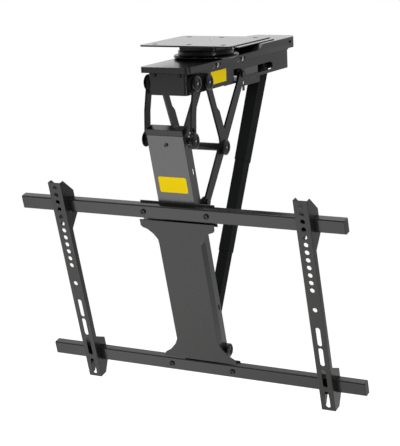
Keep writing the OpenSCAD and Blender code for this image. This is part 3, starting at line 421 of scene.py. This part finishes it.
class MountSizes(bpy.types.PropertyGroup):
    """Sizes of the mount's small pieces and where they sit; places are rearward and upward"""
    column_tilt: FloatProperty(
        name="Column tilt", description="Tilt of the column from the vertical",
        subtype="ANGLE", default=math.radians(13.8))
    column_corner: FloatVectorProperty(
        name="Column corner", description="Front edge of the top rail",
        unit="LENGTH", precision=4, size=2, default=(-152.8 * MM, -295.2 * MM))
    front_pivot: FloatVectorProperty(
        name="Front link pivot", description="Front link on the housing",
        unit="LENGTH", precision=4, size=2, default=pin_of("front_link_pivot"))
    crank_pivot: FloatVectorProperty(
        name="Crank pivot", description="Crank on the housing",
        unit="LENGTH", precision=4, size=2, default=pin_of("fold"))
    middle_pivot: FloatVectorProperty(
        name="Middle pivot", description="Long arm on the crank",
        unit="LENGTH", precision=4, size=2, default=pin_of("arm_pivot"))
    link_pivot: FloatVectorProperty(
        name="Link pivot", description="Front link on the column",
        unit="LENGTH", precision=4, size=2, default=(-151 * MM, -167 * MM))
    hub: FloatVectorProperty(
        name="Hub", description="Strut foot on the column",
        unit="LENGTH", precision=4, size=2, default=pin_of("strut_foot_pivot"))
    stud: FloatVectorProperty(
        name="Link stud", description="Stud on each front link",
        unit="LENGTH", precision=4, size=2, default=(-149.44 * MM, -146.72 * MM))
    cap_radius: FloatProperty(
        name="Cap radius", description="Radius of the pivot caps",
        unit="LENGTH", precision=4, default=15 * MM, min=14 * MM, max=15.5 * MM)
    cap_height: FloatProperty(
        name="Cap height", description="Height of the right pivot caps",
        unit="LENGTH", precision=4, default=4.5 * MM, min=4 * MM, max=6 * MM)
    far_height: FloatProperty(
        name="Left cap height", description="Height of the left pivot caps",
        unit="LENGTH", precision=4, default=3.2 * MM, min=3 * MM, max=4 * MM)
    hub_radius: FloatProperty(
        name="Hub radius", description="Radius of the hub caps",
        unit="LENGTH", precision=4, default=14 * MM, min=13 * MM, max=15 * MM)
    hub_height: FloatProperty(
        name="Hub height", description="Height of the hub caps",
        unit="LENGTH", precision=4, default=11 * MM, min=9 * MM, max=12 * MM)
    bolt_radius: FloatProperty(
        name="Rail bolt radius", description="Radius of the rail bolts' heads",
        unit="LENGTH", precision=4, default=5.5 * MM, min=5 * MM, max=6 * MM)
    nut_radius: FloatProperty(
        name="Lid nut radius", description="Corner radius of the lid's hex nuts",
        unit="LENGTH", precision=4, default=3.4 * MM, min=3.2 * MM, max=3.6 * MM)


# Profiles of the turned pieces, in millimetres

def cap_profile(face, radius, height, pin=()):
    """Pivot cap: an optional pin behind it, a rounded rim, a dished face and a socket screw."""
    top = face + height
    floor = top - 1.2
    rim, wall = radius - 2.7, radius - 6.0
    screw, socket = 5.0, 2.5
    return [(r, h, ROUND) for r, h in pin] + [
        (radius - 0.4, face, ROUND), (radius, face + 0.4, ROUND), (radius, top - 1.9, ROUND),
        (radius - 0.1, top - 1.6, ROUND), (radius - 2.3, top - 0.15, ROUND), (rim, top, ROUND),
        (wall + 0.3, top, ROUND), (wall, top - 0.3, ROUND), (wall, floor, ROUND),
        (screw + 0.2, floor, ROUND), (screw, floor + 0.2, ROUND), (screw, top - 0.4, ROUND),
        (screw - 0.4, top, ROUND), (socket + 0.4, top, ROUND),
        (socket, top - 0.2, HEX), (socket - 0.1, top - 2.2, HEX)]


def housing_pin():
    """Pin and collar behind the housing's own caps."""
    pin, collar = 5, 7
    return ((collar - 0.4, COLLAR_IN), (collar, COLLAR_IN + 0.4), (collar, COLLAR_OUT),
            (pin, COLLAR_OUT), (pin, HOUSING_CAP_FACE))


def shaft_end_profile(cap_top):
    """Bright end of the pin, seen at the bottom of a cap's socket."""
    radius, foot, top = 2.2, cap_top - 2.2, cap_top - 0.5
    return [(radius, foot, ROUND), (radius, top - 0.3, ROUND), (radius - 0.3, top, ROUND), (0.4, top, ROUND)]


def stud_profile():
    """Round head of a link stud on its shank."""
    shank, head = 2, 4
    return [(shank, LINK_IN, ROUND), (shank, LINK_OUT, ROUND), (head - 0.2, LINK_OUT, ROUND),
            (head, LINK_OUT + 0.2, ROUND), (head, LINK_OUT + 2.2, ROUND),
            (head - 0.3, LINK_OUT + 2.7, ROUND), (head - 1, LINK_OUT + 3, ROUND)]


def rail_bolt_profile(head):
    """Domed head with a hex socket on its shank; the head's seat is at 0."""
    shank, depth = head / 2, 19
    return [(shank, -depth, ROUND), (shank, 0, ROUND), (head - 0.2, 0, ROUND), (head, 0.3, ROUND),
            (head, 1.9, ROUND), (head - 0.4, 2.8, ROUND), (head - 1.2, 3.4, ROUND), (head - 2.0, 3.5, ROUND),
            (shank, 3.3, HEX), (shank - 0.1, 1.6, HEX)]


def lid_nut_profile(corner):
    """Hex nut on a stud that ends below it; the nut's seat is at 0."""
    stud, above, height = corner / 2, 3.9, 7
    return [(stud, -above, ROUND), (stud, 0, ROUND), (corner - 0.4, 0, ROUND), (corner, 0.3, HEX),
            (corner, height - 0.3, HEX), (corner - 0.4, height, ROUND), (stud, height, ROUND),
            (stud, height + 1.5, ROUND), (stud - 0.5, height + 2, ROUND)]


def on_middle(spot):
    """A rearward and upward place as a point of the middle plane."""
    return 0, spot[0], spot[1]


def cap_pair(name, pivots, face, radius, height, far_height, pin=()):
    """Caps on both ends of the given pivots. The left ones have their own height."""
    finish = FINISHES["cap_coat"]
    right = seat(name + "_R", finish, cap_profile(face, radius, height, pin),
                 [(on_middle(p), RIGHT) for p in pivots])
    left = seat(name + "_L", finish, cap_profile(face, radius, far_height, pin),
                [(on_middle(p), LEFT) for p in pivots])
    return join(name, [right, left])


# Operators

class MOUNT_OT_finishes(bpy.types.Operator):
    """Makes the finishes and gives every frame node its own"""
    bl_idname = "mount.finishes"
    bl_label = "Finishes"

    def execute(self, context):
        c = context.scene.mount_colours
        FINISHES.update({
            "plate_grey": coat("Powder_Coat_Plate", c.plate, 0.18),
            "black_coat": coat("Powder_Coat_Black", c.black, 0.26),
            "dark_coat": coat("Powder_Coat_Dark", c.dark, 0.28),
            # Worn by caps, link studs and swivel as their own black, and by the top flange as painted shade.
            "cap_coat": coat("Powder_Coat_Caps_And_Shade", c.caps, 0.22, level=0.3),
            "grey_coat": coat("Powder_Coat_Grey", c.grey, 0.28, level=0.7),
            "rail_coat": coat("Powder_Coat_Rail", c.rail, 0.24, level=0.4),
            "deep_black": coat("Powder_Coat_Strut", c.strut, 0.60, level=0.03),
            "zinc": zinc("Zinc_Plating", c.zinc, 0.2),
            "black_plastic": moulded("Moulded_ABS", c.plastic, 0.5),
            "yellow_label": coat("Label_Film", c.label, 0.5, level=0.05, mottling=0.02),
        })
        slots = {s["node"]: s["material_slot"] for s in frame["record"]["subparts"]}
        for node, item in frame["nodes"].items():
            # Swivel and link studs wear the caps' black coat. The top flange wears it as painted shade, darker
            # than the rest of the column.
            caps_coat_or_shade = node.startswith("swivel") or node in ("link_studs", "top_flange")
            item.data.materials.clear()
            item.data.materials.append(FINISHES["cap_coat" if caps_coat_or_shade else slots[node]])
        return {"FINISHED"}


class MOUNT_OT_housing(bpy.types.Operator):
    """Rounds the edges of ceiling plate, swivel, lid and housing"""
    bl_idname = "mount.housing"
    bl_label = "Plate, swivel and housing"

    def execute(self, context):
        dress(["ceiling_plate", "lid_strip", "cable_bracket", "pivot_plates"], width=0.6)
        dress(["lid", "box"], width=0.5, radius=2)
        dress(["swivel_disc", "swivel_dish", "swivel_neck"], width=0.8)
        return {"FINISHED"}


class MOUNT_OT_links(bpy.types.Operator):
    """Rounds the edges of cranks, long arms, front links and what they turn on"""
    bl_idname = "mount.links"
    bl_label = "Folding links"

    def execute(self, context):
        dress(["crank_left", "crank_right", "long_arm_left", "long_arm_right", "front_link_left",
               "front_link_right", "cross_tube", "slide_shaft", "foot_shaft", "carriage"], width=0.5)
        return {"FINISHED"}


class MOUNT_OT_column(bpy.types.Operator):
    """Rounds the edges of column, cover plate, rails and screen arms"""
    bl_idname = "mount.column"
    bl_label = "Column, rails and screen arms"

    def execute(self, context):
        dress(["column_upper", "column_lower", "cover_plate", "tv_arm_left", "tv_arm_right"],
              width=0.4, radius=2)
        dress(["rail_top", "rail_bottom"], width=0.5, radius=2)
        dress(["top_flange", "rail_caps", "arm_lock_left", "arm_lock_right"], width=0.5)
        return {"FINISHED"}


class MOUNT_OT_strut(bpy.types.Operator):
    """Rounds the edges of the telescopic strut"""
    bl_idname = "mount.strut"
    bl_label = "Strut"

    def execute(self, context):
        dress(["strut_foot"], width=0.8)
        dress(["strut_lower", "strut_middle", "strut_upper"], width=0.2, radius=1.5)
        return {"FINISHED"}


class MOUNT_OT_caps(bpy.types.Operator):
    """Seats the caps and the bright shaft ends on the pivots, and the studs on the front links"""
    bl_idname = "mount.caps"
    bl_label = "Pivot caps and link studs"

    def execute(self, context):
        s = context.scene.mount_sizes
        radius, height, far = s.cap_radius / MM, s.cap_height / MM, s.far_height / MM
        hub_radius, hub_height = s.hub_radius / MM, s.hub_height / MM
        pivots = (
            ("Housing_Caps", "housing", "pivot_caps", (s.front_pivot, s.crank_pivot),
             HOUSING_CAP_FACE, housing_pin()),
            ("Crank_Caps", "cranks", "crank_caps", (s.middle_pivot,), LINK_OUT, ()),
            ("Link_Caps", "front_links", "link_caps", (s.link_pivot,), LINK_OUT, ()),
        )
        for name, body, node, spots, face, pin in pivots:
            lift = face - LINK_OUT  # thinner where they start further out, so that all end level
            place(cap_pair(name, spots, face, radius, height - lift, far - lift, pin), body, node)
        place(cap_pair("Hub_Caps", (s.hub,), COLUMN_FACE, hub_radius, hub_height, hub_height),
              "column", "hub_caps")
        end = shaft_end_profile(LINK_OUT + height)
        for _, body, node, spots, *_ in pivots:
            shown = seat("Shaft_Ends_" + node, FINISHES["zinc"], end, [(on_middle(p), RIGHT) for p in spots])
            place(shown, body, node)
        studs = [(on_middle(s.stud), RIGHT), (on_middle(s.stud), LEFT)]
        place(seat("Link_Studs", FINISHES["cap_coat"], stud_profile(), studs),
              "front_links", "link_studs")
        return {"FINISHED"}


class MOUNT_OT_bolts(bpy.types.Operator):
    """Seats the rail bolts and the lid's studs with their nuts"""
    bl_idname = "mount.bolts"
    bl_label = "Bolts and nuts"

    def execute(self, context):
        s = context.scene.mount_sizes
        turn, corner = Matrix.Rotation(s.column_tilt, 3, "X"), Vector((0, *s.column_corner))
        bolts = [(corner + turn @ Vector((x, 0, up)) * MM, turn @ Vector((0, -1, 0)))
                 for x in (-RAIL_BOLT_X, RAIL_BOLT_X) for up in RAIL_BOLT_UP]
        place(seat("Rail_Bolts", FINISHES["black_coat"], rail_bolt_profile(s.bolt_radius / MM), bolts),
              "column", "rail_bolts")
        nuts = [(Vector((x, y + side, LIP_UNDERSIDE)) * MM, DOWN) for x in (-LID_STUD_X, LID_STUD_X)
                for y in LID_STUD_Y for side in (-LID_STUD_PAIR, LID_STUD_PAIR)]
        place(seat("Lid_Nuts", FINISHES["zinc"], lid_nut_profile(s.nut_radius / MM), nuts),
              "housing", "lid_bolts")
        return {"FINISHED"}


class MOUNT_OT_stage(bpy.types.Operator):
    """Makes the floor, the studio light, the lamps and the camera"""
    bl_idname = "mount.stage"
    bl_label = "Stage"

    def ray_is(self, tree, *kinds):
        """1 for rays of the given kinds and 0 for all other light."""
        path = add(tree, "ShaderNodeLightPath")
        found = path.outputs[f"Is {kinds[0]} Ray"]
        for kind in kinds[1:]:
            found = add(tree, "ShaderNodeMath", [(0, found), (1, path.outputs[f"Is {kind} Ray"])],
                        operation="MAXIMUM").outputs[0]
        return found

    def floor(self):
        """A pale floor that glows a little where it is seen, so that it stays plain white."""
        half, level = FLOOR_HALF, FLOOR_LEVEL
        mesh = bpy.data.meshes.new("Floor")
        mesh.from_pydata([(-half, -half, level), (half, -half, level), (half, half, level),
                          (-half, half, level)], [], [(0, 1, 2, 3)])
        floor = linked("Floor", mesh)
        pale = bpy.data.materials.new("Pale_Floor")
        pale.use_nodes = True
        tree = pale.node_tree
        paint = tree.nodes["Principled BSDF"]
        paint.inputs["Base Color"].default_value = linear("#F0F0EE")
        paint.inputs["Roughness"].default_value = 0.9
        paint.inputs["Emission Color"].default_value = linear("#FFFFFF")
        seen = self.ray_is(tree, "Camera", "Glossy", "Transmission")
        glow = add(tree, "ShaderNodeMapRange", [("Value", seen)])
        glow.inputs["To Min"].default_value = 0.0
        glow.inputs["To Max"].default_value = FLOOR_GLOW
        tree.links.new(glow.outputs["Result"], paint.inputs["Emission Strength"])
        floor.data.materials.append(pale)

    def studio(self):
        """A white world that is plain in diffuse light and sweeps from dark to bright in gloss."""
        world = bpy.data.worlds.new("Studio")
        world.use_nodes = True
        tree = world.node_tree
        tree.nodes.clear()
        ray = add(tree, "ShaderNodeTexCoord").outputs["Generated"]
        along = add(tree, "ShaderNodeVectorMath", [(0, ray)], operation="DOT_PRODUCT")
        along.inputs[1].default_value = STUDIO_SWEEP
        sweep = add(tree, "ShaderNodeMapRange", [("Value", along.outputs["Value"])])
        sweep.inputs["From Min"].default_value, sweep.inputs["From Max"].default_value = STUDIO_SWEEP_FROM
        sweep.inputs["To Min"].default_value, sweep.inputs["To Max"].default_value = STUDIO_SWEEP_TO
        soft = add(tree, "ShaderNodeMapRange", [
            ("Value", self.ray_is(tree, "Glossy")), ("To Max", sweep.outputs["Result"])])
        soft.inputs["To Min"].default_value = STUDIO_PLAIN
        level = add(tree, "ShaderNodeMapRange", [
            ("Value", self.ray_is(tree, "Camera", "Transmission")), ("To Min", soft.outputs["Result"])])
        level.inputs["To Max"].default_value = STUDIO_SEEN
        sky = add(tree, "ShaderNodeBackground", [("Strength", level.outputs["Result"])], Color=(1, 1, 1, 1))
        add(tree, "ShaderNodeOutputWorld", [("Surface", sky.outputs[0])])
        bpy.context.scene.world = world

    def lamps(self):
        """Large soft lamps, all turned to the middle of the mount."""
        for name, spot, size, power in LAMPS:
            lamp = bpy.data.lights.new(name, "AREA")
            lamp.shape = "RECTANGLE"
            lamp.size, lamp.size_y, lamp.energy = *size, power
            holder = linked(name, lamp)
            holder.location = spot
            holder.rotation_euler = (LAMP_TARGET - Vector(spot)).to_track_quat("-Z", "Y").to_euler()

    def camera(self):
        """The photograph's camera."""
        azimuth, elevation, roll = CAMERA_AZIMUTH, CAMERA_ELEVATION, CAMERA_ROLL
        ahead = Vector((-math.sin(azimuth) * math.cos(elevation), math.cos(azimuth) * math.cos(elevation),
                        -math.sin(elevation)))
        side = ahead.cross(Vector((0, 0, 1))).normalized()
        above = side.cross(ahead)
        right = math.cos(roll) * side + math.sin(roll) * above
        up = -math.sin(roll) * side + math.cos(roll) * above
        lens = bpy.data.cameras.new("Camera")
        lens.lens, lens.sensor_width = CAMERA_LENS, CAMERA_SENSOR
        lens.clip_start, lens.clip_end = CAMERA_CLIP
        turn = Matrix((right, up, -ahead)).transposed().to_4x4()
        turn.translation = CAMERA_PLACE
        camera = linked("Camera", lens)
        camera.matrix_world = turn
        bpy.context.scene.camera = camera

    def execute(self, context):
        self.floor()
        self.studio()
        self.lamps()
        self.camera()
        context.scene.view_settings.view_transform = "Standard"
        return {"FINISHED"}


OPERATORS = [MOUNT_OT_finishes, MOUNT_OT_housing, MOUNT_OT_links, MOUNT_OT_column, MOUNT_OT_strut,
             MOUNT_OT_caps, MOUNT_OT_bolts, MOUNT_OT_stage]


class MOUNT_PT_panel(bpy.types.Panel):
    """Lists the mount's sizes, colours and pieces"""
    bl_label = "Ceiling Mount"
    bl_idname = "MOUNT_PT_panel"
    bl_space_type = "VIEW_3D"
    bl_region_type = "UI"
    bl_category = "Ceiling Mount"

    def draw(self, context):
        for group in (context.scene.mount_sizes, context.scene.mount_colours):
            box = self.layout.box()
            for key in group.__annotations__:
                box.prop(group, key)
        for piece in OPERATORS:
            self.layout.operator(piece.bl_idname)


CLASSES = [MountColours, MountSizes, *OPERATORS, MOUNT_PT_panel]


def register():
    for made in CLASSES:
        bpy.utils.register_class(made)
    bpy.types.Scene.mount_colours = PointerProperty(type=MountColours)
    bpy.types.Scene.mount_sizes = PointerProperty(type=MountSizes)


def unregister():
    del bpy.types.Scene.mount_sizes, bpy.types.Scene.mount_colours
    for made in reversed(CLASSES):
        bpy.utils.unregister_class(made)


def main():
    register()
    mount = bpy.ops.mount
    mount.finishes()
    mount.housing()
    mount.links()
    mount.column()
    mount.strut()
    mount.caps()
    mount.bolts()
    mount.stage()


if __name__ == "__main__":
    main()
